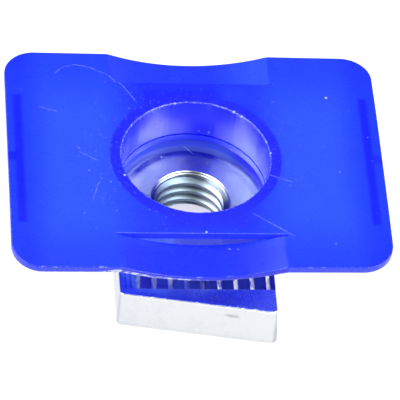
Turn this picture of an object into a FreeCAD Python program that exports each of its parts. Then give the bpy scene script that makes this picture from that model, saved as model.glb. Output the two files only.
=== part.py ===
import FreeCAD, Part
import os
from math import sin, cos, tan, radians, sqrt

V = FreeCAD.Vector
os.makedirs("parts", exist_ok=True)

# Frame: millimetres, +Z up along the thread axis, origin on that axis at the
# nut's underside, +X along the channel (the plate's long side).

# ---------------------------------------------------------------- dimensions
# steel nut
nut_width = 19.5           # across the two long sides, X
nut_half_len = 17.2        # from the axis to an end face, measured on the axis
nut_end_slope = 0.155      # the ends lean 8.8 degrees off square
nut_thick = 6.0
nut_bottom_r = 0.35        # rolled lower edges
nut_corner_r = 0.6         # standing corners
nut_top_r = 0.18           # broken upper edges
thread_r = 5.0             # M10 nominal radius, the wall of the tapped hole
thread_break = 0.1         # edge break at both mouths

tooth_pitch = 2.04         # serrations across each lip seat
tooth_depth = 0.45
tooth_flank = 0.67         # steep flank of each tooth, facing +X on the near row
tooth_back = 1.31          # gentle back that rises to the next ridge
tooth_y_in = 10.85         # the row starts just outside the retainer's tube
tooth_y_out = 14.83
tooth_first_ridge = -7.72  # ridge nearest the plain end of the row
tooth_count = 8
tooth_last = (0.55, 0.37, 1.35, 0.10)  # the row runs out through the nut's side: low point and depth, then where it leaves

# plastic retainer
plate_len = 47.05          # X
plate_half = 18.07         # half of the plate's depth, Y
plate_t = 0.95
plate_top = 14.2           # upper face above the nut's underside
plate_corner_r = 3.9
plate_edge_r = 0.12
droop_deg = 2.8            # the long edges droop slightly
droop_from = 5.0           # the droop starts this far from the axis
droop_r = 150.0

hole_r = 9.37
rim_r = 0.1
tube_r = 10.6              # passes a 22 mm channel slot
groove_top = 8.42          # narrow inside groove
groove_low = 8.17
groove_deep = 0.25
foot_top = 7.15            # the tube's foot is bored a hair wider
foot_deep = 0.1

spring_half = 10.23        # leaf spring, half length to where its arc would meet the plate
spring_blend = 2.0         # rounding where the leaf leaves the plate
spring_y = 12.77           # slit between plate and spring
slit = 0.2
spring_t = 0.62            # the leaf thins towards its middle
spring_bow = 1.9

pad_x0, pad_x1 = -5.95, 3.0 # stop pad on the far side; the near one is turned half round
pad_y = 11.3
pad_high = 1.4

rib_x = 22.0               # guide ribs that drop into the slot
rib_t = 1.1
rib_half = 10.4
rib_high = 2.2
spur_half = 0.6
spur_high = 0.9

leg_in = 9.8               # snap legs beside the nut
leg_low = 0.1
hook_in = 9.69
hook_top = 0.3
leg_half = 3.6


# ------------------------------------------------------------------- helpers
def poly(points):
    return Part.Face(Part.makePolygon(points + [points[0]]))


def half_turn(shape):
    s = shape.copy()
    s.rotate(V(0, 0, 0), V(0, 0, 1), 180)
    return s


def edges_where(shape, test):
    return [e for e in shape.Edges if test(e)]


def one(shape, name):
    shape = shape.removeSplitter()
    solids = shape.Solids
    if len(solids) != 1:
        raise RuntimeError("%s has %d solids" % (name, len(solids)))
    s = solids[0]
    if not s.isValid():
        raise RuntimeError(name + " is not valid")
    return s


# ----------------------------------------------------------------- steel nut
hw = nut_width / 2
rise = nut_end_slope * hw
body = poly([
    V(-hw, -nut_half_len + rise, 0), V(hw, -nut_half_len - rise, 0),
    V(hw, nut_half_len - rise, 0), V(-hw, nut_half_len + rise, 0),
]).extrude(V(0, 0, nut_thick))
body = body.makeFillet(nut_corner_r, edges_where(
    body, lambda e: abs(e.BoundBox.ZLength - nut_thick) < 1e-6))
body = body.makeFillet(nut_bottom_r, edges_where(
    body, lambda e: e.BoundBox.ZMax < 1e-6))
body = body.makeFillet(nut_top_r, edges_where(
    body, lambda e: e.BoundBox.ZMin > nut_thick - 1e-6))

# serrations: saw teeth along Y cut into the upper face, each with one steep and one gentle flank
profiles = []
for i in range(tooth_count):
    x0 = tooth_first_ridge + i * tooth_pitch
    x1 = x0 + tooth_flank
    profiles.append([(x0, 0), (x1, -tooth_depth), (x1 + tooth_back, 0)])
x0 = tooth_first_ridge + tooth_count * tooth_pitch
profiles.append([(x0, 0), (x0 + tooth_last[0], -tooth_last[1]), (x0 + tooth_last[2], -tooth_last[3])])
notches = []
for pts in profiles:
    # carry the notch a hair above the face so that its edges stay sharp
    pts = [(pts[0][0], 0.5)] + pts + [(pts[-1][0], 0.5)]
    face = poly([V(a, -tooth_y_out, nut_thick + b) for a, b in pts])
    notches.append(face.extrude(V(0, tooth_y_out - tooth_y_in, 0)))
row = notches[0].multiFuse(notches[1:]).removeSplitter()
body = body.cut(row).cut(half_turn(row))

# tapped through hole
b = thread_break
drill = Part.makeCylinder(thread_r, nut_thick + 2, V(0, 0, -1))
drill = drill.fuse(Part.makeCone(thread_r + b, thread_r, b, V(0, 0, 0)))
drill = drill.fuse(Part.makeCone(thread_r, thread_r + b, b, V(0, 0, nut_thick - b)))
steel_nut = one(body.cut(drill), "steel_nut")


# ----------------------------------------------------------- plastic retainer
a = radians(droop_deg)
y1 = droop_from + droop_r * sin(a)
d1 = droop_r * (1 - cos(a))


def drop(y):
    """How far the plate's upper face lies below its middle at |y|."""
    y = abs(y)
    if y <= droop_from:
        return 0.0
    if y <= y1:
        return droop_r - sqrt(droop_r ** 2 - (y - droop_from) ** 2)
    return d1 + (y - y1) * tan(a)


def upper(z_shift):
    z = plate_top + z_shift
    ym = droop_from + droop_r * sin(a / 2)
    p = [V(0, -plate_half, z - drop(plate_half)), V(0, -y1, z - d1), V(0, -ym, z - drop(ym)),
         V(0, -droop_from, z), V(0, droop_from, z), V(0, ym, z - drop(ym)),
         V(0, y1, z - d1), V(0, plate_half, z - drop(plate_half))]
    return p, [Part.LineSegment(p[0], p[1]).toShape(), Part.Arc(p[1], p[2], p[3]).toShape(),
               Part.LineSegment(p[3], p[4]).toShape(), Part.Arc(p[4], p[5], p[6]).toShape(),
               Part.LineSegment(p[6], p[7]).toShape()]


pt, top_edges = upper(0)
pb, low_edges = upper(-plate_t)
outline = Part.Wire(Part.__sortEdges__(
    top_edges + low_edges + [Part.LineSegment(pt[0], pb[0]).toShape(), Part.LineSegment(pt[7], pb[7]).toShape()]))
slab = Part.Face(outline).extrude(V(plate_len, 0, 0))
slab.translate(V(-plate_len / 2, 0, 0))
corners = edges_where(slab, lambda e: abs(e.BoundBox.ZLength - plate_t) < 1e-6
                      and e.BoundBox.XLength < 1e-6 and e.BoundBox.YLength < 1e-6)
slab = slab.makeFillet(plate_corner_r, corners)

# leaf springs: arcs below the plate, joined to it only at their two ends
main_r = (spring_half ** 2 + spring_bow ** 2) / (2 * spring_bow)
spring_end = sqrt(2 * (main_r + spring_blend) * spring_bow - spring_bow ** 2)
low_bow = spring_bow - (plate_t - spring_t)
low_r = (spring_end ** 2 + low_bow ** 2) / (2 * low_bow) - spring_blend
ys = -(spring_y + slit)
ze = plate_top - drop(ys)


def leaf_edge(z, sag, r):
    """Flat run, rounded shoulder, long arc, rounded shoulder, as three arcs."""
    rb = spring_blend
    cx, cz = spring_end, -rb                      # shoulder centre
    mz = r - sag                                  # long arc's centre height
    tx = cx - rb * cx / (r + rb)
    tz = cz + rb * (mz - cz) / (r + rb)
    hx, hz = (cx + tx) / 2 - cx, (tz + 0) / 2 - cz
    h = sqrt(hx * hx + hz * hz)
    hx, hz = cx + rb * hx / h, cz + rb * hz / h   # middle of the shoulder arc

    def q(x, dz):
        return V(x, ys, z + dz)
    return [Part.Arc(q(-cx, 0), q(-hx, hz), q(-tx, tz)).toShape(),
            Part.Arc(q(-tx, tz), q(0, -sag), q(tx, tz)).toShape(),
            Part.Arc(q(tx, tz), q(hx, hz), q(cx, 0)).toShape()]


leaf_wire = Part.Wire(Part.__sortEdges__(
    leaf_edge(ze, spring_bow, main_r) + leaf_edge(ze - plate_t, low_bow, low_r)
    + [Part.LineSegment(V(i * spring_end, ys, ze), V(i * spring_end, ys, ze - plate_t)).toShape() for i in (-1, 1)]))
leaf = Part.Face(leaf_wire).extrude(V(0, -(plate_half + ys), -(plate_half + ys) * tan(a)))
window = Part.makeBox(2 * spring_end, 10, 20, V(-spring_end, -spring_y - 10, 0))
slab = slab.cut(window).cut(half_turn(window)).fuse(leaf).fuse(half_turn(leaf)).removeSplitter()


def on_rim(e):
    # edges that run round the plate's outline, upper and lower
    if e.BoundBox.XLength < 1e-6 and e.BoundBox.YLength < 1e-6:
        return False
    hx, hy, r = plate_len / 2, plate_half, plate_corner_r
    for t in (0.1, 0.5, 0.9):
        m = e.valueAt(e.FirstParameter + t * (e.LastParameter - e.FirstParameter))
        cx, cy = abs(m.x) - (hx - r), abs(m.y) - (hy - r)
        if cx > 0 and cy > 0:
            out = abs(sqrt(cx * cx + cy * cy) - r)
        else:
            out = min(abs(abs(m.x) - hx), abs(abs(m.y) - hy))
        if out > 1e-3:
            return False
    return True


slab = slab.makeFillet(plate_edge_r, edges_where(slab, on_rim))

# tube down to the nut's upper face
tube = Part.makeCylinder(tube_r, plate_top - plate_t / 2 - nut_thick, V(0, 0, nut_thick))

# stop pads beside the tube, guide ribs and their spurs under the short edges
low = plate_top - plate_t
pad = Part.makeBox(pad_x1 - pad_x0, pad_y - 8, pad_high + 0.4, V(pad_x0, 8, low - pad_high))
pad = pad.makeFillet(0.2, edges_where(pad, lambda e: e.BoundBox.ZMax < low - pad_high + 1e-6))
rib = Part.makeBox(rib_t, 2 * rib_half, rib_high + 0.4, V(rib_x - rib_t / 2, -rib_half, low - rib_high))
rib = rib.makeFillet(0.35, edges_where(rib, lambda e: e.BoundBox.ZMax < low - rib_high + 1e-6))
spur = Part.makeBox(plate_len / 2 - 0.2 - rib_x, 2 * spur_half, spur_high + 0.4, V(rib_x, -spur_half, low - spur_high))

retainer = slab
for s in (tube, pad, half_turn(pad), rib, half_turn(rib), spur, half_turn(spur)):
    retainer = retainer.fuse(s)

# the hole through plate and tube, its broken rim, the inside groove and the wider foot
well = Part.makeCylinder(hole_r, 20, V(0, 0, nut_thick - 1))
well = well.fuse(Part.makeCone(hole_r, hole_r + 2 * rim_r, 2 * rim_r, V(0, 0, plate_top - rim_r)))
well = well.fuse(Part.makeCylinder(hole_r + groove_deep, groove_top - groove_low, V(0, 0, groove_low)))
well = well.fuse(Part.makeCylinder(hole_r + foot_deep, foot_top - nut_thick + 1, V(0, 0, nut_thick - 1)))
retainer = retainer.cut(well)

# snap legs: the tube's side walls run on down past the nut and hook under its rounded edge
leg = poly([V(leg_in, -leg_half, nut_thick + 0.6), V(leg_in, -leg_half, hook_top), V(hook_in, -leg_half, leg_low),
            V(leg_in + 0.2, -leg_half, leg_low), V(tube_r, -leg_half, leg_low + 0.6),
            V(tube_r, -leg_half, nut_thick + 0.6)]).extrude(V(0, 2 * leg_half, 0))
leg = leg.common(Part.makeCylinder(tube_r, nut_thick + 2, V(0, 0, -0.5)))
retainer = retainer.fuse(leg).fuse(half_turn(leg))
plastic_retainer = one(retainer, "plastic_retainer")

# ------------------------------------------------------------------- output
for name, shape in (("plastic_retainer", plastic_retainer), ("steel_nut", steel_nut)):
    shape.exportStep("parts/%s.step" % name)
    bb = shape.BoundBox
    print("%s  %.1f mm3  x %.2f..%.2f  y %.2f..%.2f  z %.2f..%.2f" % (
        name, shape.Volume, bb.XMin, bb.XMax, bb.YMin, bb.YMax, bb.ZMin, bb.ZMax))
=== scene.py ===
"""Looks for a channel nut hung in a moulded blue retainer plate."""

import math

import bmesh
import bpy
from mathutils import Matrix, Vector, noise


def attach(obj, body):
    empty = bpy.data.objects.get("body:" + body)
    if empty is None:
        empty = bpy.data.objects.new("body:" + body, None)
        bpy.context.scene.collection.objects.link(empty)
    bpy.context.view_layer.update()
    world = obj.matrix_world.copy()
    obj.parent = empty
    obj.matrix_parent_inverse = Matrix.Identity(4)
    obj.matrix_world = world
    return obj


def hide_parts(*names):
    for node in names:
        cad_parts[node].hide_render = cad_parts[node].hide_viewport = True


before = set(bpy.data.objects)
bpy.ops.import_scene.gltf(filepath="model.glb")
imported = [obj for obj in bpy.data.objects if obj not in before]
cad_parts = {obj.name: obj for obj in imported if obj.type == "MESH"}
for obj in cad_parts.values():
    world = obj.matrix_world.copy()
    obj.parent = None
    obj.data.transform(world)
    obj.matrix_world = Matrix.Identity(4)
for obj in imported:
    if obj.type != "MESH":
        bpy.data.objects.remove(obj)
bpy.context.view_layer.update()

# ---------------------------------------------------------------- dimensions, mm
PLATE_TOP = 14.2
NUT_TOP = 6.0
NUT_HALF_W = 9.75
HOLE_R = 9.37
BORE_MOUTH_R = 5.1
PITCH = 1.5                 # M10 coarse
MINOR_R, MAJOR_R = 4.22, 4.98
TWIST = -0.0085             # the moulding is warped by half a degree end to end
FLOOR_GLOW = 0.95           # the floor is a lit white sheet
CEILING = 0.10
ZENITH = 0.45
TONE = (0.65, 0.77, 0.96)     # plastic colours against the studio's light


# ------------------------------------------------------------------ mesh helpers
def copy_of(node):
    """A welded working copy of a CAD node, in millimetres."""
    bm = bmesh.new()
    bm.from_mesh(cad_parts[node].data)
    for v in bm.verts:
        v.co *= 1000.0
    bmesh.ops.remove_doubles(bm, verts=bm.verts, dist=2e-4)
    bm.normal_update()
    return bm


def cut(bm, normal, places, where):
    """Splits the chosen faces along parallel planes, so that they can be bent."""
    n = Vector(normal).normalized()
    for p in places:
        faces = []
        for f in bm.faces:
            d = [v.co.dot(n) - p for v in f.verts]
            if min(d) < -1e-3 and max(d) > 1e-3 and where(f):
                faces.append(f)
        if faces:
            geom = list(dict.fromkeys(e for f in faces for e in (f, *f.edges, *f.verts)))
            bmesh.ops.bisect_plane(bm, geom=geom, dist=1e-5, plane_co=n * p, plane_no=n)


def spaced(lo, hi, pitch):
    n = max(1, round((hi - lo) / pitch))
    return [lo + (hi - lo) * k / n for k in range(n + 1)]


def tidy(bm):
    """Triangles only, without collapsed ones."""
    bmesh.ops.triangulate(bm, faces=[f for f in bm.faces if len(f.verts) > 3])
    bmesh.ops.dissolve_degenerate(bm, dist=2e-4, edges=bm.edges[:])
    bmesh.ops.triangulate(bm, faces=[f for f in bm.faces if len(f.verts) > 3])


def smooth(t, a, b):
    u = min(1.0, max(0.0, (t - a) / (b - a)))
    return u * u * (3 - 2 * u)


def make_piece(bm, name, node, material, angle):
    mesh = bpy.data.meshes.new(name)
    for v in bm.verts:
        v.co *= 0.001
    bmesh.ops.recalc_face_normals(bm, faces=bm.faces)
    bm.to_mesh(mesh)
    bm.free()
    for layer in [a.name for a in mesh.attributes if a.name == "custom_normal"]:
        mesh.attributes.remove(mesh.attributes[layer])
    while mesh.uv_layers:
        mesh.uv_layers.remove(mesh.uv_layers[0])
    mesh.materials.clear()
    mesh.materials.append(material)
    for p in mesh.polygons:
        p.use_smooth = True
        p.material_index = 0
    mesh.validate()
    mesh.set_sharp_from_angle(angle=math.radians(angle))
    obj = bpy.data.objects.new(name, mesh)
    bpy.context.scene.collection.objects.link(obj)
    wn = obj.modifiers.new("even_normals", "WEIGHTED_NORMAL")
    wn.mode = "FACE_AREA"
    wn.weight = 50
    wn.keep_sharp = True
    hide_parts(node)
    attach(obj, "root")
    return obj


# ---------------------------------------------------------------- shader helpers
class Val:
    """A socket in a material's graph, with arithmetic."""

    def __init__(self, g, socket):
        self.g, self.socket = g, socket

    def __add__(self, o): return self.g.math("ADD", self, o)
    def __radd__(self, o): return self.g.math("ADD", o, self)
    def __sub__(self, o): return self.g.math("SUBTRACT", self, o)
    def __rsub__(self, o): return self.g.math("SUBTRACT", o, self)
    def __mul__(self, o): return self.g.math("MULTIPLY", self, o)
    def __rmul__(self, o): return self.g.math("MULTIPLY", o, self)
    def __truediv__(self, o): return self.g.math("DIVIDE", self, o)
    def abs(self): return self.g.math("ABSOLUTE", self)
    def sqrt(self): return self.g.math("SQRT", self)
    def max(self, o): return self.g.math("MAXIMUM", self, o)
    def min(self, o): return self.g.math("MINIMUM", self, o)
    def clip(self): return self.max(0.0).min(1.0)


class Graph:
    def __init__(self, name):
        self.mat = bpy.data.materials.new(name)
        self.mat.use_nodes = True
        self.nt = self.mat.node_tree
        self.nt.nodes.clear()
        self.out = self.nt.nodes.new("ShaderNodeOutputMaterial")
        self.bsdf = self.nt.nodes.new("ShaderNodeBsdfPrincipled")
        self.nt.links.new(self.bsdf.outputs[0], self.out.inputs[0])
        tc = self.nt.nodes.new("ShaderNodeTexCoord")
        mm = self.nt.nodes.new("ShaderNodeVectorMath")
        mm.operation = "SCALE"
        mm.inputs["Scale"].default_value = 1000.0
        self.nt.links.new(tc.outputs["Object"], mm.inputs[0])
        self.P = mm.outputs[0]
        sep = self.nt.nodes.new("ShaderNodeSeparateXYZ")
        self.nt.links.new(self.P, sep.inputs[0])
        self.x, self.y, self.z = (Val(self, s) for s in sep.outputs)
        geo = self.nt.nodes.new("ShaderNodeNewGeometry")
        sepn = self.nt.nodes.new("ShaderNodeSeparateXYZ")
        self.nt.links.new(geo.outputs["True Normal"], sepn.inputs[0])
        self.nx, self.ny, self.nz = (Val(self, s) for s in sepn.outputs)

    def put(self, socket, value):
        if isinstance(value, Val):
            self.nt.links.new(value.socket, socket)
        else:
            socket.default_value = value

    def math(self, op, *args):
        n = self.nt.nodes.new("ShaderNodeMath")
        n.operation = op
        for i, a in enumerate(args):
            self.put(n.inputs[i], a)
        return Val(self, n.outputs[0])

    def step(self, v, a, b):
        """0 before a and 1 after b, smoothly. With a above b it falls instead."""
        n = self.nt.nodes.new("ShaderNodeMapRange")
        n.interpolation_type = "SMOOTHSTEP"
        n.clamp = True
        if a < b:
            lo, hi, t0, t1 = a, b, 0.0, 1.0
        else:
            lo, hi, t0, t1 = b, a, 1.0, 0.0
        self.put(n.inputs["Value"], v)
        n.inputs["From Min"].default_value = lo
        n.inputs["From Max"].default_value = hi
        n.inputs["To Min"].default_value = t0
        n.inputs["To Max"].default_value = t1
        return Val(self, n.outputs["Result"])

    def noise(self, scale, detail=2.0, rough=0.5, stretch=(1, 1, 1), offset=(0, 0, 0), distort=0.0):
        m = self.nt.nodes.new("ShaderNodeMapping")
        m.inputs["Scale"].default_value = stretch
        m.inputs["Location"].default_value = offset
        self.nt.links.new(self.P, m.inputs["Vector"])
        n = self.nt.nodes.new("ShaderNodeTexNoise")
        n.inputs["Scale"].default_value = scale
        n.inputs["Detail"].default_value = detail
        n.inputs["Roughness"].default_value = rough
        n.inputs["Distortion"].default_value = distort
        self.nt.links.new(m.outputs[0], n.inputs["Vector"])
        return Val(self, n.outputs[0])

    def mix(self, f, a, b):
        n = self.nt.nodes.new("ShaderNodeMix")
        n.data_type = "RGBA"
        n.clamp_factor = True
        self.put(n.inputs[0], f)
        for socket, c in ((n.inputs[6], a), (n.inputs[7], b)):
            if isinstance(c, Val):
                self.nt.links.new(c.socket, socket)
            else:
                socket.default_value = (*c, 1.0)
        return Val(self, n.outputs[2])

    def tint(self, f, base, colour):
        """The base colour multiplied by another one, by this much."""
        n = self.nt.nodes.new("ShaderNodeMix")
        n.data_type = "RGBA"
        n.blend_type = "MULTIPLY"
        n.clamp_factor = True
        self.put(n.inputs[0], f)
        self.nt.links.new(base.socket, n.inputs[6])
        n.inputs[7].default_value = (*colour, 1.0)
        return Val(self, n.outputs[2])

    def line(self, x1, y1, x2, y2, width):
        """1 on a fine straight mark in plan, 0 away from it."""
        dx, dy = x2 - x1, y2 - y1
        ll = dx * dx + dy * dy
        t = (((self.x - x1) * dx + (self.y - y1) * dy) / ll).clip()
        ex = self.x - x1 - t * dx
        ey = self.y - y1 - t * dy
        return self.step((ex * ex + ey * ey).sqrt(), width, width * 0.35)

    def spot(self, x1, y1, rad):
        ex, ey = self.x - x1, self.y - y1
        return self.step((ex * ex + ey * ey).sqrt(), rad, rad * 0.4)

    def dot(self, x1, y1, z1, rad):
        """1 on a small round fleck at one place in space."""
        ex, ey, ez = self.x - x1, self.y - y1, self.z - z1
        return self.step((ex * ex + ey * ey + ez * ez).sqrt(), rad, rad * 0.4)

    def box(self, x0, x1, y0, y1, soft):
        """1 inside a rectangle in plan, falling off over soft outside it."""
        a = self.step(self.x, x0 - soft, x0 + soft * 0.3)
        b = self.step(self.x, x1 + soft, x1 - soft * 0.3)
        c = self.step(self.y, y0 - soft, y0 + soft * 0.3)
        d = self.step(self.y, y1 + soft, y1 - soft * 0.3)
        return a * b * c * d

    def bump(self, height, strength, distance):
        n = self.nt.nodes.new("ShaderNodeBump")
        n.inputs["Strength"].default_value = strength
        n.inputs["Distance"].default_value = distance
        self.nt.links.new(height.socket, n.inputs["Height"])
        self.nt.links.new(n.outputs[0], self.bsdf.inputs["Normal"])


# ------------------------------------------------------------------ blue plastic
def tone(r, g, b):
    """A plastic colour, scaled to the studio's light."""
    return (r * TONE[0], g * TONE[1], b * TONE[2])


def blue_plastic():
    g = Graph("blue_plastic_look")
    x, y, z = g.x, g.y, g.z
    ax, ay = x.abs(), y.abs()
    r = (x * x + y * y).sqrt()
    top = g.step(g.nz, 0.35, 0.8) * g.step(z, 11.0, 11.6)
    upright = g.step(g.nz.abs(), 0.6, 0.3)
    wall = upright * g.step(r, 9.75, 9.65)
    outer_wall = upright * g.step(r, 10.3, 10.4) * g.step(r, 11.4, 11.2) * g.step(z, 13.2, 13.0)
    side = upright * g.step(z, 10.6, 11.2) * g.step(r, 11.3, 11.6)
    cut_face = side * g.step(ax, 11.0, 10.6) * g.step((ay - 12.77).abs(), 0.3, 0.25)

    # painted light that comes up through the thin plate: least over the nut, the tube, the pads and the ribs
    over_nut = g.step(ax, 13.0, 5.5) * (0.59 + 0.17 * g.step(y, -2.0, 8.0))
    ends = g.step(ax, 17.0, 22.0) * 0.54
    far = g.step(y, 6.5, 16.5) * 0.39
    near = g.step(y, -8.0, -18.0) * (0.40 + 0.06 * g.step(x, -8.0, 8.0))
    cloud = g.noise(0.16, 2.0, 0.5, offset=(3.1, 7.7, 0))
    mottle = g.noise(0.8, 3.0, 0.6, offset=(1.4, 2.2, 5))
    s = 1.0 - (over_nut * over_nut + ends * ends + far * far + near * near).sqrt()
    s = s + 0.10 * (cloud - 0.5) + 0.07 * (mottle - 0.5)
    left = g.step(x, 1.0, -1.0)
    bars = g.step((x - (22.06 * left * -1.0 + 21.86 * (1.0 - left))).abs(), 0.84, 0.24) * g.step((y + 0.4).abs(), 10.95, 10.55)
    spur = g.step(ax, 22.0, 22.4) * g.step((y + 0.25).abs(), 0.95, 0.5)
    s = s + 0.22 * g.box(4.4, 6.8, 9.8, 12.0, 1.4)
    s = s * (1.0 - 0.85 * bars) * (1.0 - (0.55 + 0.25 * left) * spur)
    # painted light on the two leaves, each painted lighter towards one end, where its slope catches more light
    leaf = g.step(ax, 10.36, 10.18) * g.step(ay, 12.78, 12.88)
    leaf_far = 0.43 + 0.55 * g.step(x, 2.5, 9.0) + 0.12 * g.step(x, -4.0, -10.0)
    leaf_near = 0.31 + 0.30 * g.step(x, 5.0, 10.8) + 0.04 * g.step(x, -5.0, -10.5) + 0.13 * g.step(x, -8.8, -10.4) + 0.16 * g.step(y, -14.8, -13.2) * g.step(ax, 4.0, 8.0)
    behind = g.step(y, -1.0, 1.0)
    s = s * (1.0 - leaf) + leaf * (behind * leaf_far + (1.0 - behind) * leaf_near + 0.08 * (mottle - 0.5))
    base = g.mix(s.max(0.03).min(1.15) / 1.15, tone(0.003, 0.006, 0.60), tone(0.0232, 0.066, 0.80))

    # painted light: the light through the plate loses its red first towards the plate's ends
    thin = (ends * 1.3).max(far).max(near * 0.8) * (1.0 - leaf)
    base = g.tint(thin, base, (0.62, 0.95, 1.0))

    # painted shade: less light comes through the plate where the pads and the tube stand under it
    pad_far = g.step(x, -6.05, -5.85) * g.step(x, 5.0, 1.4) * g.step(y, 11.75, 11.25) * g.step(y, 7.0, 8.0)
    pad_near = g.step(x, -6.0, -2.0) * g.step(x, 8.0, 4.5) * g.step(y, -12.4, -10.9) * g.step(y, -7.0, -8.0)
    base = g.mix(pad_far * 0.95, base, tone(0.0058, 0.0105, 0.60))
    base = g.mix(pad_near * 0.9, base, tone(0.0130, 0.0150, 0.46))
    base = g.mix(g.step(r, 10.95, 10.6) * (1.0 - 0.6 * pad_near) * (1.0 - 0.6 * pad_far), base, tone(0.0100, 0.0135, 0.62))
    # painted light: faces other than the top are painted a brighter blue, as if lit through the plastic, and faces
    # looking down a paler blue still
    under = 1.0 - top
    base = g.mix(under, base, tone(0.0046, 0.0180, 0.92))
    base = g.mix(g.step(g.nz, -0.4, -0.7), base, tone(0.0270, 0.0460, 1.0))
    # painted light on the tube's outer wall: lighter on its left side, with a pale painted highlight low down at its
    # left foot
    foot = g.step(z, 7.05, 6.85) * g.step(x, 1.5, -0.5)
    base = g.mix(outer_wall, base, g.mix(g.step(x, -3.4, -2.4), tone(0.185, 0.300, 1.0), tone(0.125, 0.145, 0.82)))
    base = g.mix(outer_wall * foot, base, (0.74, 0.80, 1.0))
    # painted light and shade on the lower inside of the tube: a lighter band above its foot, and the foot painted
    # light on the left and dark in shade on the right
    low_wall = wall * g.step(z, 7.25, 7.05)
    band = wall * g.step(z, 8.5, 8.2) - low_wall
    base = g.mix(band * 0.75, base, tone(0.0220, 0.0500, 0.92))
    base = g.mix(low_wall, base, g.mix(g.step(x, 5.0, 7.0), tone(0.0330, 0.0680, 0.68), tone(0.0015, 0.0060, 0.66)))

    # painted shade in the narrow gap along the foot of the tube's far wall
    seam_shade = wall * g.step((z - 7.22).abs(), 0.11, 0.03) * g.step(y, 3.5, 6.5)
    base = g.mix(seam_shade * 0.7, base, tone(0.0020, 0.0040, 0.44))

    # painted light: cut and moulded edges are painted paler, where light leaves the plate
    speck = g.noise(2.6, 3.0, 0.65, offset=(11, 5, 2))
    base = g.mix(side * (0.55 + 0.5 * speck), base, g.mix(leaf, tone(0.034, 0.056, 0.62), tone(0.007, 0.014, 0.52)))
    base = g.mix(cut_face, base, tone(0.0300, 0.0520, 1.0))

    # burrs and rubbed flecks along the hole's rim, the slits and the outer edge
    fine = g.noise(3.4, 3.0, 0.7, offset=(2, 9, 4))
    high = g.step(z, 13.85, 14.0)
    rim = g.step((r - 9.42).abs(), 0.10, 0.03) * high * (0.45 + 0.55 * g.step(y, -6.0, 4.0))
    rim_f = rim * (0.12 + 0.88 * g.step(fine, 0.47, 0.60))
    for px, py, rad in ((-7.75, 5.23, 0.20), (-9.39, 0.29, 0.14), (-9.10, -3.30, 0.20), (-5.0, 7.87, 0.16), (-2.09, 9.14, 0.16),
                        (5.33, 7.8, 0.22), (6.29, 7.03, 0.20), (9.05, 2.59, 0.16), (9.45, 0.71, 0.18)):
        rim_f = rim_f.max(g.spot(px, py, rad) * high * 1.4)
    slit_line = g.step((ay - 12.74 - 0.16 * behind).abs(), 0.16, 0.05) * g.step(ax, 10.9, 10.3) * top
    slit_f = slit_line * (0.30 + 0.70 * g.step(fine, 0.52, 0.70))
    lip = g.step(ay, 17.84, 17.98).max(g.step(ax, 23.30, 23.42)) * g.step(z, 10.6, 11.0)
    arch = (1.0 - x * x / 104.65).max(0.0) * g.step(ay, 12.8, 12.9)
    depth = (PLATE_TOP - 0.46 + TWIST * 0.935 * x * (2.0 * behind - 1.0) - 1.9 * arch - z) / (0.95 - 0.33 * arch)
    streak = g.noise(2.2, 4.0, 0.75, stretch=(0.5, 1, 1), offset=(6, 3, 8))
    front = g.step(y, 0.0, -14.0) * (0.5 + 0.5 * g.step(x, 4.0, -5.0))
    burred = g.step(x, 2.0, -2.5) * g.step(x, -13.0, -10.5) * (1.0 - behind)
    low_edge = g.step(depth + 0.34 * burred, 0.70, 0.92) * (0.06 + 0.94 * g.step(streak + 0.09 * burred, 0.53, 0.62)) * (0.25 + 0.75 * front)
    high_edge = g.step(depth, 0.18, 0.08) * g.step(streak, 0.54, 0.64) * (0.08 + 0.20 * front)
    lip_f = lip * low_edge.max(high_edge)
    base = g.mix((rim_f * 0.60).max(slit_f * 0.34), base, (0.36, 0.42, 0.92))
    base = g.mix(lip_f * 0.85, base, (0.58, 0.64, 0.96))

    # fine scratches and flecks, each where the real one has it
    hair = [(-17.08, 14.29), (-16.14, 15.37), (-14.46, 15.94), (-12.57, 15.44), (-10.1, 13.9), (-8.65, 12.35), (-7.6, 10.44), (-7.14, 9.57)]
    lines = [(*hair[i], *hair[i + 1], 0.06) for i in range(len(hair) - 1)]
    lines += [(6.47, -9.44, 8.6, -11.0, 0.07), (8.6, -11.0, 11.41, -13.01, 0.06), (9.08, -3.03, 11.75, -4.17, 0.06),
              (-19.3, 8.2, -17.0, 7.4, 0.06), (-14.5, 0.5, -12.2, -1.0, 0.05), (-12.4, -4.6, -13.2, -7.4, 0.05)]
    marks = None
    for seg in lines:
        m = g.line(*seg)
        marks = m if marks is None else marks.max(m)
    marks = marks * (0.35 + 0.65 * g.step(g.noise(1.7, 2.0, 0.6, offset=(5, 1, 8)), 0.40, 0.62)) * top
    for px, py, rad in ((17.3, 10.55, 0.20), (17.9, -2.4, 0.14),
                        (-14.6, 1.2, 0.13), (-13.5, -2.6, 0.12), (-10.9, -4.4, 0.12), (-14.4, -9.6, 0.12), (-10.4, -9.2, 0.10),
                        (16.4, -14.2, 0.14), (22.0, 3.6, 0.10)):
        marks = marks.max(g.spot(px, py, rad) * top)
    for fleck in ((1.39, 9.27, 8.96, 0.16), (2.65, 8.99, 9.02, 0.20), (5.60, 7.51, 7.44, 0.16), (5.61, 7.50, 7.1, 0.14), (-4.1, 8.4, 10.6, 0.10)):
        marks = marks.max(g.dot(*fleck) * 1.6)
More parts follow.
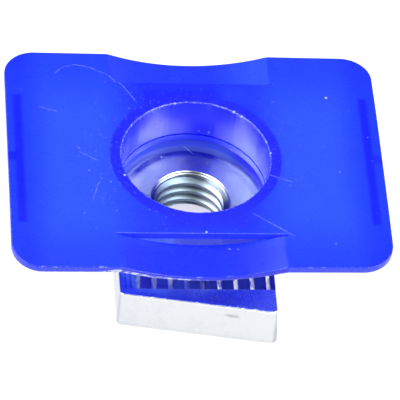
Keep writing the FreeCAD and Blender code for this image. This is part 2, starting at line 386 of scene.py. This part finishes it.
    # a rubbed patch beside the hole, with many short scuffs
    scuffed = g.box(-15.5, -9.5, -10.5, 1.5, 2.5).max(g.box(12.0, 20.0, -7.0, -3.0, 2.5) * 0.6)
    scuffs = g.step(g.noise(2.4, 3.0, 0.7, stretch=(1, 0.6, 1), offset=(31, 17, 3)), 0.655, 0.72) * scuffed * top
    dust = g.step(g.noise(1.9, 1.0, 0.4, offset=(13, 7, 3)), 0.765, 0.80) * top
    round_hole = g.step(r, 17.0, 12.0) * (0.55 + 0.45 * g.step(x, 3.0, -6.0))
    dust = dust.max(g.step(g.noise(3.3, 0.0, 0.5, offset=(3, 27, 9)), 0.735, 0.78) * top * round_hole)
    pale = (marks * 0.40).max(scuffs * 0.14).max(dust * 0.11).max(g.spot(17.3, 10.55, 0.24) * 0.9).max(g.spot(0.53, -12.50, 0.20) * top * 0.8)
    pale = pale.max(g.spot(3.43, -13.72, 0.15) * top * 0.55).max(g.spot(4.45, -13.86, 0.13) * top * 0.45)
    base = g.mix(pale, base, (0.28, 0.34, 0.90))

    g.nt.links.new(base.socket, g.bsdf.inputs["Base Color"])
    rough = 0.28 + 0.12 * (g.noise(0.5, 3.0, 0.6) - 0.5) + 0.2 * marks - 0.05 * wall + low_wall * (0.36 + 0.20 * g.step(x, 4.0, 6.5)) + 0.07 * band
    g.nt.links.new(rough.socket, g.bsdf.inputs["Roughness"])
    g.bsdf.inputs["IOR"].default_value = 1.49
    g.bsdf.inputs["Specular IOR Level"].default_value = 0.5
    grain = g.noise(1.6, 3.0, 0.6) * 0.6 + g.noise(9.0, 2.0, 0.5) * 0.4 + marks * 0.5
    g.bump(grain, 0.08, 0.00006)
    return g.mat


# -------------------------------------------------------------------- zinc steel
def zinc_steel():
    g = Graph("zinc_steel_look")
    x, y, z = g.x, g.y, g.z
    r = (x * x + y * y).sqrt()
    tint = g.noise(0.22, 2.0, 0.5, offset=(4, 4, 1))
    fleck = g.noise(2.2, 4.0, 0.65, offset=(9, 2, 6))
    upper = g.step(g.nz, 0.5, 0.8) * g.step(z, 5.0, 5.2)
    base = g.mix(tint, (0.668, 0.688, 0.715), (0.71, 0.725, 0.735))
    # painted reflection: the upper face is a brighter, cyan metal than the sides, so its reflections of the blue
    # plastic come out stronger, and less blue inside the tube
    base = g.mix(upper, base, g.mix(g.noise(0.7, 3.0, 0.6), (0.77, 0.90, 0.92), (0.83, 0.96, 0.97)))
    base = g.tint(upper * g.step(r, 9.7, 9.3), base, (1.0, 1.0, 0.80))
    # drawing streaks at the plain end of each serrated row
    plain = g.step(y.abs(), 10.7, 10.9) * g.step(y.abs(), 14.9, 14.7) * upper
    streaks = g.noise(1.6, 2.0, 0.6, stretch=(1, 0.06, 1), offset=(7, 1, 2))
    base = g.mix(plain * g.step(streaks, 0.48, 0.66) * 0.5, base, (0.45, 0.50, 0.70))
    px = x * (1.0 - 2.0 * g.step(y, -1.0, 1.0))
    drawn = g.step((px + 8.95).abs(), 0.12, 0.04).max(g.step((px + 8.35).abs(), 0.16, 0.05))
    base = g.tint(plain * drawn, base, (0.55, 0.50, 0.68))
    # pale specks on the lands outside the tube
    specks = g.step(g.noise(3.4, 3.0, 0.7, offset=(8, 8, 8)), 0.55, 0.70) * upper * g.step(y.abs(), 14.7, 15.0) * (0.3 + 0.7 * g.step(x, -3.0, 2.0))
    base = g.mix(specks * 0.14, base, (0.95, 0.97, 1.0))
    # saw teeth: painted dark reflections on their backs, painted bright and bluish reflections on their flanks, with a
    # painted dark reflection on the flanks in the middle of the row
    row = g.step(y.abs(), 10.7, 10.9) * g.step(y.abs(), 14.9, 14.75) * g.step(z, 5.40, 5.45) * g.step(x.abs(), 9.75, 9.7)
    lean = g.nx * (1.0 - 2.0 * g.step(y, -1.0, 1.0))
    back = row * g.step(lean, -0.15, -0.25) * g.step(g.nz, 0.5, 0.7)
    flank = row * g.step(lean, 0.3, 0.45) * g.step(g.nz, 0.4, 0.6)
    base = g.tint(back * (0.8 + 0.2 * g.noise(0.6, 2.0, 0.5)), base, (0.24, 0.22, 0.42))
    # painted dark reflection on the flanks in the middle of the row, beside the tube's shaded side
    shaded_flank = g.step((px - 0.78).abs(), 0.45, 0.55)
    patchy = g.step(g.noise(0.62, 2.0, 0.6, stretch=(1, 0.7, 1), offset=(2, 14, 3)), 0.42, 0.56)
    base = g.mix(flank, base, g.mix(shaded_flank, (0.22, 0.24, 0.40), g.mix(patchy, (0.42, 0.46, 0.74), (0.92, 0.95, 0.98))))
    # painted light and shade in the bore: painted lighter towards its right side, and pale and dark bands painted
    # below the mouth for the highlights and shade lines of its broken edges
    bore = g.step(r, 5.16, 5.11)
    lit = g.step(x, 0.9, 3.4)
    base = g.mix(bore, base, g.mix(lit, g.mix(g.step(x, -0.5, -3.0), (0.205, 0.275, 0.320), (0.125, 0.175, 0.225)), (0.31, 0.365, 0.40)))
    base = g.mix(g.step(z, 5.20, 5.35) * bore, base, g.mix(lit, (0.070, 0.100, 0.130), (0.12, 0.15, 0.18)))
    base = g.mix(g.step(z, 5.62, 5.65) * bore, base, (0.32, 0.37, 0.42))
    base = g.mix(g.step(z, 5.73, 5.76) * bore, base, (0.05, 0.065, 0.10))
    mouth = g.step(z, 5.90, 5.92) * bore
    base = g.mix(mouth, base, (0.62, 0.67, 0.72))
    base = g.mix(g.step(fleck, 0.60, 0.80) * 0.35 * (1.0 - upper), base, (0.58, 0.59, 0.61))
    # painted shade: rounded lower edges and standing corners are painted darker
    edge_shade = g.step(z, 0.42, 0.12).max(g.step(x.abs(), 9.45, 9.7) * g.step(y.abs(), 14.0, 16.0))
    base = g.mix(edge_shade * (0.45 + 0.55 * tint) * (1.0 - bore), base, (0.46, 0.46, 0.47))
    # painted shade: a dark arc round the hole on the upper face, for the shade and dark reflection under the tube's
    # lower end
    ring = g.step(r, 7.35, 8.0) * g.step(r, 8.68, 8.42) * g.step(y, 3.2, 5.0) * upper
    ring = ring * (0.75 + 0.25 * g.step(g.noise(0.9, 3.0, 0.6, offset=(2, 5, 1)), 0.35, 0.6)) * (0.12 + 0.88 * g.step(x, 5.4, 3.0))
    base = g.mix(ring, base, g.mix(g.step(x, -3.4, -1.2), (0.065, 0.080, 0.46), (0.13, 0.165, 0.56)))
    # painted shade on the upper face between that arc and the tube wall, darker on the left
    outside = g.step(r, 8.45, 8.65) * g.step(r, 9.6, 9.4) * g.step(y, 0.5, 3.5) * upper
    base = g.mix(outside * (0.20 + 0.45 * g.step(x, 3.0, -3.0)), base, (0.46, 0.58, 0.80))
    # painted shade: soft darker patches on the upper face inside the tube, left and right of the bore and behind it
    lx, ly = x + 5.6, y - 3.6
    base = g.tint(g.step((lx * lx + ly * ly).sqrt(), 3.4, 1.2) * upper, base, (0.70, 0.72, 0.86))
    rx, ry = x - 6.6, y - 2.0
    base = g.tint(g.step((rx * rx + ry * ry).sqrt(), 3.0, 1.0) * upper, base, (0.82, 0.84, 0.94))
    cx, cy = x - 0.9, y - 6.6
    base = g.tint(g.step((cx * cx * 0.5 + cy * cy).sqrt(), 2.2, 0.6) * upper, base, (0.95, 0.84, 0.74))
    # white flecks left on the upper face
    bits = g.line(-0.25, 9.3, 0.25, 8.75, 0.07).max(g.line(0.25, 8.75, 0.80, 8.05, 0.07)) * 0.45
    for bx, by, rad in ((-3.26, 7.41, 0.16), (5.7, 7.95, 0.12), (-5.2, 5.6, 0.08), (2.6, 6.4, 0.07), (6.9, 3.4, 0.08)):
        bits = bits.max(g.spot(bx, by, rad))
    bits = bits * upper
    base = g.mix(bits, base, (0.34, 0.40, 0.80))
    # end faces: soft blotches, a faint painted shade line where the lower rounding starts, a painted highlight along
    # the upper edge
    end = g.step((y + 0.155 * x).abs(), 16.7, 16.9) * (1.0 - upper)
    blotch = g.noise(0.45, 3.0, 0.6, stretch=(1, 1, 0.6), offset=(3, 1, 4))
    base = g.tint(end * g.step(blotch, 0.50, 0.68), base, (0.955, 0.955, 0.965))
    base = g.tint(end * g.step((z - 0.62).abs(), 0.16, 0.05) * 0.8, base, (0.94, 0.94, 0.95))
    brow = end * g.step(z, 5.70, 5.80)
    base = g.mix(brow, base, (0.86, 0.87, 0.89))
    # small dark smudge on one end face
    ex, ez = x - 4.2, z - 4.45
    smudge = g.step((ex * ex * 0.35 + ez * ez * 2.2).sqrt(), 0.75, 0.1) * g.step(y, -16.0, -16.6)
    smudge = smudge * g.step(g.noise(1.3, 3.0, 0.7), 0.22, 0.50)
    base = g.mix(smudge * 0.7, base, (0.34, 0.33, 0.31))
    g.nt.links.new(base.socket, g.bsdf.inputs["Base Color"])
    g.nt.links.new((1.0 - bits).socket, g.bsdf.inputs["Metallic"])
    rough = 0.24 + 0.12 * (g.noise(0.8, 3.0, 0.6) - 0.5) + 0.10 * g.step(fleck, 0.55, 0.8) * (1.0 - upper)
    inside = g.step(r, 9.6, 9.3) * upper
    rough = rough + 0.10 * bore + 0.24 * mouth + 0.10 * specks - 0.06 * row
    rough = rough * (1.0 - inside) + inside * (0.24 + 0.10 * (g.noise(0.8, 3.0, 0.6) - 0.5))
    rough = rough + 0.35 * brow
    g.nt.links.new(rough.socket, g.bsdf.inputs["Roughness"])
    grain = g.noise(1.3, 4.0, 0.6) * 0.5 + g.noise(6.0, 2.0, 0.5) * 0.3
    g.bump(grain, 0.10, 0.00006)
    return g.mat


BLUE = blue_plastic()
ZINC = zinc_steel()


# ---------------------------------------------------------------------- retainer
def retainer():
    bm = copy_of("plastic_retainer")
    plate = lambda f: max(v.co.z for v in f.verts) > 9.0
    cut(bm, (1, 0, 0), spaced(-23.5, 23.5, 2.2), plate)
    cut(bm, (0, 1, 0), spaced(-18.1, 18.1, 2.2), plate)
    # more corners round the hole's rim
    at_rim = lambda f: min(math.hypot(v.co.x, v.co.y) for v in f.verts) < 9.6 and max(v.co.z for v in f.verts) > 14.1
    cut(bm, (0, 0, 1), [13.8], at_rim)
    close = lambda f: at_rim(f) and min(v.co.z for v in f.verts) > 13.7
    for k in range(100):
        t = math.pi * (k + 0.5) / 100
        cut(bm, (-math.sin(t), math.cos(t), 0), [0.0], close)
    tidy(bm)
    for v in bm.verts:
        c = v.co
        w = smooth(c.z, 9.0, 12.5)
        s = max(0.0, abs(c.y) - 4.5)
        lift = 1.8 * s * s / (s + 4.0)
        c.z = min(PLATE_TOP, c.z + TWIST * (c.x / 20.0) * math.copysign(lift, c.y) * w)
    # small burrs stand into the hole along its rim
    for v in bm.verts:
        c = v.co
        r = math.hypot(c.x, c.y)
        if c.z > 14.0 and r < 9.62:
            n = noise.noise(Vector((c.x * 1.3, c.y * 1.3, 2.0))) + 0.6 * noise.noise(Vector((c.x * 3.1, c.y * 3.1, 6.0)))
            d = 0.10 * max(0.0, n) + 0.02 * n
            c.x -= c.x / r * d
            c.y -= c.y / r * d
    return make_piece(bm, "retainer_moulding", "plastic_retainer", BLUE, 32)


# --------------------------------------------------------------------------- nut
def thread_radius(theta, z):
    """Wall of an M10 x 1.5 right-hand tapped hole with a broken edge at each mouth."""
    ph = (z / PITCH - theta / (2 * math.pi) + 0.41) % 1.0
    crest, flank = 0.16, 0.36
    if ph < crest:
        g = 0.0
    elif ph < crest + flank:
        g = (ph - crest) / flank
    elif ph < 1.0 - flank:
        g = 1.0
    else:
        g = (1.0 - ph) / flank
    g = g * g * (3 - 2 * g) * 0.6 + g * 0.4
    wall = MINOR_R + (MAJOR_R - MINOR_R) * g
    d = NUT_TOP - z
    if d < 0.10:
        lead = BORE_MOUTH_R - 1.2 * d
    elif d < 0.26:
        lead = BORE_MOUTH_R - 0.12
    elif d < 0.36:
        lead = BORE_MOUTH_R - 0.12 - 1.5 * (d - 0.26)
    else:
        lead = BORE_MOUTH_R - 0.27 - 2.0 * (d - 0.36)
    return max(wall, lead, BORE_MOUTH_R - z * 2.0)


def zip_loops(bm, a, b):
    """Triangles between two closed rings of (angle, vertex), both sorted by angle."""
    i = j = 0
    na, nb = len(a), len(b)
    while i < na or j < nb:
        ta = a[i + 1][0] if i + 1 < na else a[0][0] + 2 * math.pi + (0 if i < na else 9)
        tb = b[j + 1][0] if j + 1 < nb else b[0][0] + 2 * math.pi + (0 if j < nb else 9)
        va, vb = a[i % na][1], b[j % nb][1]
        if j >= nb or (i < na and ta <= tb):
            tri = (va, a[(i + 1) % na][1], vb)
            i += 1
        else:
            tri = (va, b[(j + 1) % nb][1], vb)
            j += 1
        bm.faces.new(tri)


def nut():
    bm = copy_of("steel_nut")
    wall = [f for f in bm.faces if all(math.hypot(v.co.x, v.co.y) < 5.15 for v in f.verts)]
    bmesh.ops.delete(bm, geom=wall, context="FACES")
    bmesh.ops.delete(bm, geom=[v for v in bm.verts if not v.link_faces], context="VERTS")
    # serrations and end faces get enough vertices to be worn
    crown = lambda f: max(v.co.z for v in f.verts) > 5.3 and max(abs(v.co.y) for v in f.verts) > 10.6
    ends = lambda f: max(abs(v.co.y) for v in f.verts) > 14.0
    flanks = lambda f: ends(f) or max(abs(v.co.x) for v in f.verts) > 9.0
    cut(bm, (0, 0, 1), spaced(0.0, 5.4, 0.9) + [5.6, 5.7, 5.8, 5.9], flanks)
    cut(bm, (0, 1, 0), spaced(-18.0, 18.0, 0.9), lambda f: max(abs(v.co.x) for v in f.verts) > 9.0)
    cut(bm, (0, 1, 0), spaced(-14.9, -10.7, 0.35) + spaced(10.7, 14.9, 0.35), crown)
    length = math.hypot(0.155, 1.0)
    cut(bm, (0.155, 1, 0), [k * q / length for k in (-1, 1) for q in (16.85, 16.93, 17.01, 17.09)], crown)
    cut(bm, (1, 0, 0), spaced(-9.7, 9.7, 0.35), crown)
    cut(bm, (1, 0, 0), spaced(-9.7, 9.7, 0.9), ends)
    mouths = {}
    for e in bm.edges:
        if e.is_boundary:
            for v in e.verts:
                mouths.setdefault(v.co.z > 3.0, set()).add(v)
    n_t, n_z = 200, 150
    rows = []
    for k in range(n_z + 1):
        z = 0.012 + (NUT_TOP - 0.024) * k / n_z
        ring = []
        for i in range(n_t):
            t = 2 * math.pi * i / n_t - math.pi
            rr = thread_radius(t, z)
            ring.append((t, bm.verts.new((rr * math.cos(t), rr * math.sin(t), z))))
        rows.append(ring)
    for a, b in zip(rows, rows[1:]):
        for i in range(n_t):
            j = (i + 1) % n_t
            bm.faces.new((a[i][1], a[j][1], b[j][1], b[i][1]))
    for upper, ring in ((False, rows[0]), (True, rows[-1])):
        loop = sorted(((math.atan2(v.co.y, v.co.x), v) for v in mouths[upper]), key=lambda q: q[0])
        zip_loops(bm, loop, ring)
    tidy(bm)

    for v in bm.verts:
        c = v.co
        # lower corners spread a little where the blank was sheared
        for k in (1, -1):
            w = smooth(k * c.x, 8.2, 9.75) * smooth(-k * c.y, 9.0, 15.5) * smooth(-c.z, -5.8, -0.6)
            c.x += 0.42 * k * w
        if 10.85 < abs(c.y) < 14.83 and 5.2 < c.z < 6.03:
            n = noise.noise(Vector((c.x * 1.9, c.y * 1.1, 3.0)))
            m = noise.noise(Vector((c.x * 4.6, c.y * 3.3, 8.0)))
            c.z += min(0.0, 0.018 * n + 0.010 * m - 0.006)
        # the sheared upper edge of each end is a little ragged
        e = smooth(abs(c.y + 0.155 * c.x), 16.85, 17.1) * smooth(c.z, 5.7, 5.95)
        if e > 0.0:
            n = noise.noise(Vector((c.x * 1.7, c.y * 0.3, 5.0))) + 0.7 * noise.noise(Vector((c.x * 4.3, c.y * 0.3, 9.0)))
            c.z -= e * (0.03 + 0.045 * n)
            c.y -= math.copysign(1.0, c.y) * e * max(0.0, 0.02 + 0.035 * n)
    for v in bm.verts:
        v.co.z = min(v.co.z, NUT_TOP)
    return make_piece(bm, "nut_blank", "steel_nut", ZINC, 32)


retainer_piece = retainer()
nut_piece = nut()


# ------------------------------------------------------------------------- stage
def floor():
    mesh = bpy.data.meshes.new("floor")
    s = 3.0
    mesh.from_pydata([(-s, -s, 0), (s, -s, 0), (s, s, 0), (-s, s, 0)], [], [(0, 1, 2, 3)])
    obj = bpy.data.objects.new("floor", mesh)
    obj.location.z = -0.00003
    bpy.context.scene.collection.objects.link(obj)
    g = Graph("floor_white")
    r = (g.x * g.x + g.y * g.y).sqrt()
    # painted shadow: the floor's glow is dimmer and lilac under the nut's bore
    glow = g.mix(g.step(r, 9.0, 6.5), (1.0, 1.0, 1.0), (0.69, 0.68, 0.82))
    g.nt.links.new(glow.socket, g.bsdf.inputs["Emission Color"])
    g.bsdf.inputs["Base Color"].default_value = (0.16, 0.16, 0.16, 1)
    g.bsdf.inputs["Roughness"].default_value = 0.9
    g.bsdf.inputs["Specular IOR Level"].default_value = 0.0
    g.bsdf.inputs["Emission Strength"].default_value = FLOOR_GLOW
    mesh.materials.append(g.mat)


def softbox(name, az, el, dist, w, h, radiance):
    """A rectangular lamp that faces the part; az is measured from the front towards +X."""
    a, e = math.radians(az), math.radians(el)
    d = Vector((math.sin(a) * math.cos(e), -math.cos(a) * math.cos(e), math.sin(e)))
    light = bpy.data.lights.new(name, "AREA")
    light.shape = "RECTANGLE"
    light.size, light.size_y = w, h
    light.energy = radiance * math.pi * w * h
    obj = bpy.data.objects.new(name, light)
    obj.location = Vector((0, 0, 0.01)) + d * dist
    obj.rotation_euler = d.to_track_quat("Z", "Y").to_euler()
    obj.visible_camera = False
    bpy.context.scene.collection.objects.link(obj)


def surroundings():
    world = bpy.data.worlds.new("studio")
    bpy.context.scene.world = world
    world.use_nodes = True
    nt = world.node_tree
    bg = nt.nodes["Background"]
    bg.inputs["Color"].default_value = (1, 1, 1, 1)
    # white sweep at the horizon, dim above it, paler again overhead
    tc = nt.nodes.new("ShaderNodeTexCoord")
    sep = nt.nodes.new("ShaderNodeSeparateXYZ")
    ramp = nt.nodes.new("ShaderNodeMapRange")
    ramp.interpolation_type = "SMOOTHSTEP"
    ramp.inputs["From Min"].default_value = 0.10
    ramp.inputs["From Max"].default_value = 0.45
    ramp.inputs["To Min"].default_value = 1.0
    ramp.inputs["To Max"].default_value = CEILING
    top = nt.nodes.new("ShaderNodeMapRange")
    top.interpolation_type = "SMOOTHSTEP"
    top.inputs["From Min"].default_value = 0.84
    top.inputs["From Max"].default_value = 0.96
    top.inputs["To Min"].default_value = 0.0
    top.inputs["To Max"].default_value = ZENITH
    total = nt.nodes.new("ShaderNodeMath")
    nt.links.new(tc.outputs["Generated"], sep.inputs[0])
    nt.links.new(sep.outputs["Z"], ramp.inputs["Value"])
    nt.links.new(sep.outputs["Z"], top.inputs["Value"])
    nt.links.new(ramp.outputs["Result"], total.inputs[0])
    nt.links.new(top.outputs["Result"], total.inputs[1])
    nt.links.new(total.outputs[0], bg.inputs["Strength"])


def camera():
    az, el, roll = (math.radians(v) for v in (-9.1488, 47.4033, 7.3778))
    dist, ox, oy, f = 492.6856, 0.5539, -5.4601, 3945.164
    back = Vector((math.sin(az) * math.cos(el), -math.cos(az) * math.cos(el), math.sin(el)))
    right = Vector((math.cos(az), math.sin(az), 0))
    up = right.cross(-back)
    r = math.cos(roll) * right + math.sin(roll) * up
    u = -math.sin(roll) * right + math.cos(roll) * up
    pos = back * dist + r * ox + u * oy + Vector((-0.06, 0, PLATE_TOP))
    cam = bpy.data.cameras.new("camera")
    cam.sensor_width = 36.0
    cam.lens = f / 400.0 * 36.0
    cam.clip_start, cam.clip_end = 0.01, 20.0
    obj = bpy.data.objects.new("camera", cam)
    m = Matrix((r, u, back)).transposed().to_4x4()
    m.translation = pos * 0.001
    obj.matrix_world = m
    bpy.context.scene.collection.objects.link(obj)
    bpy.context.scene.camera = obj


floor()
softbox("softbox_right_front", 39, 47, 0.42, 0.29, 0.30, 3.4)
softbox("softbox_right_side", 72, 47, 0.42, 0.28, 0.30, 4.1)
softbox("softbox_right_back", 98, 48, 0.42, 0.24, 0.28, 3.0)
softbox("softbox_left_front", -63, 48, 0.42, 0.26, 0.32, 3.4)
softbox("softbox_left_side", -90, 48, 0.42, 0.28, 0.34, 3.7)
softbox("softbox_left_back", -116, 48, 0.42, 0.26, 0.32, 2.8)
surroundings()
camera()
bpy.context.scene.view_settings.view_transform = "Standard"
bpy.context.scene.view_settings.look = "None"
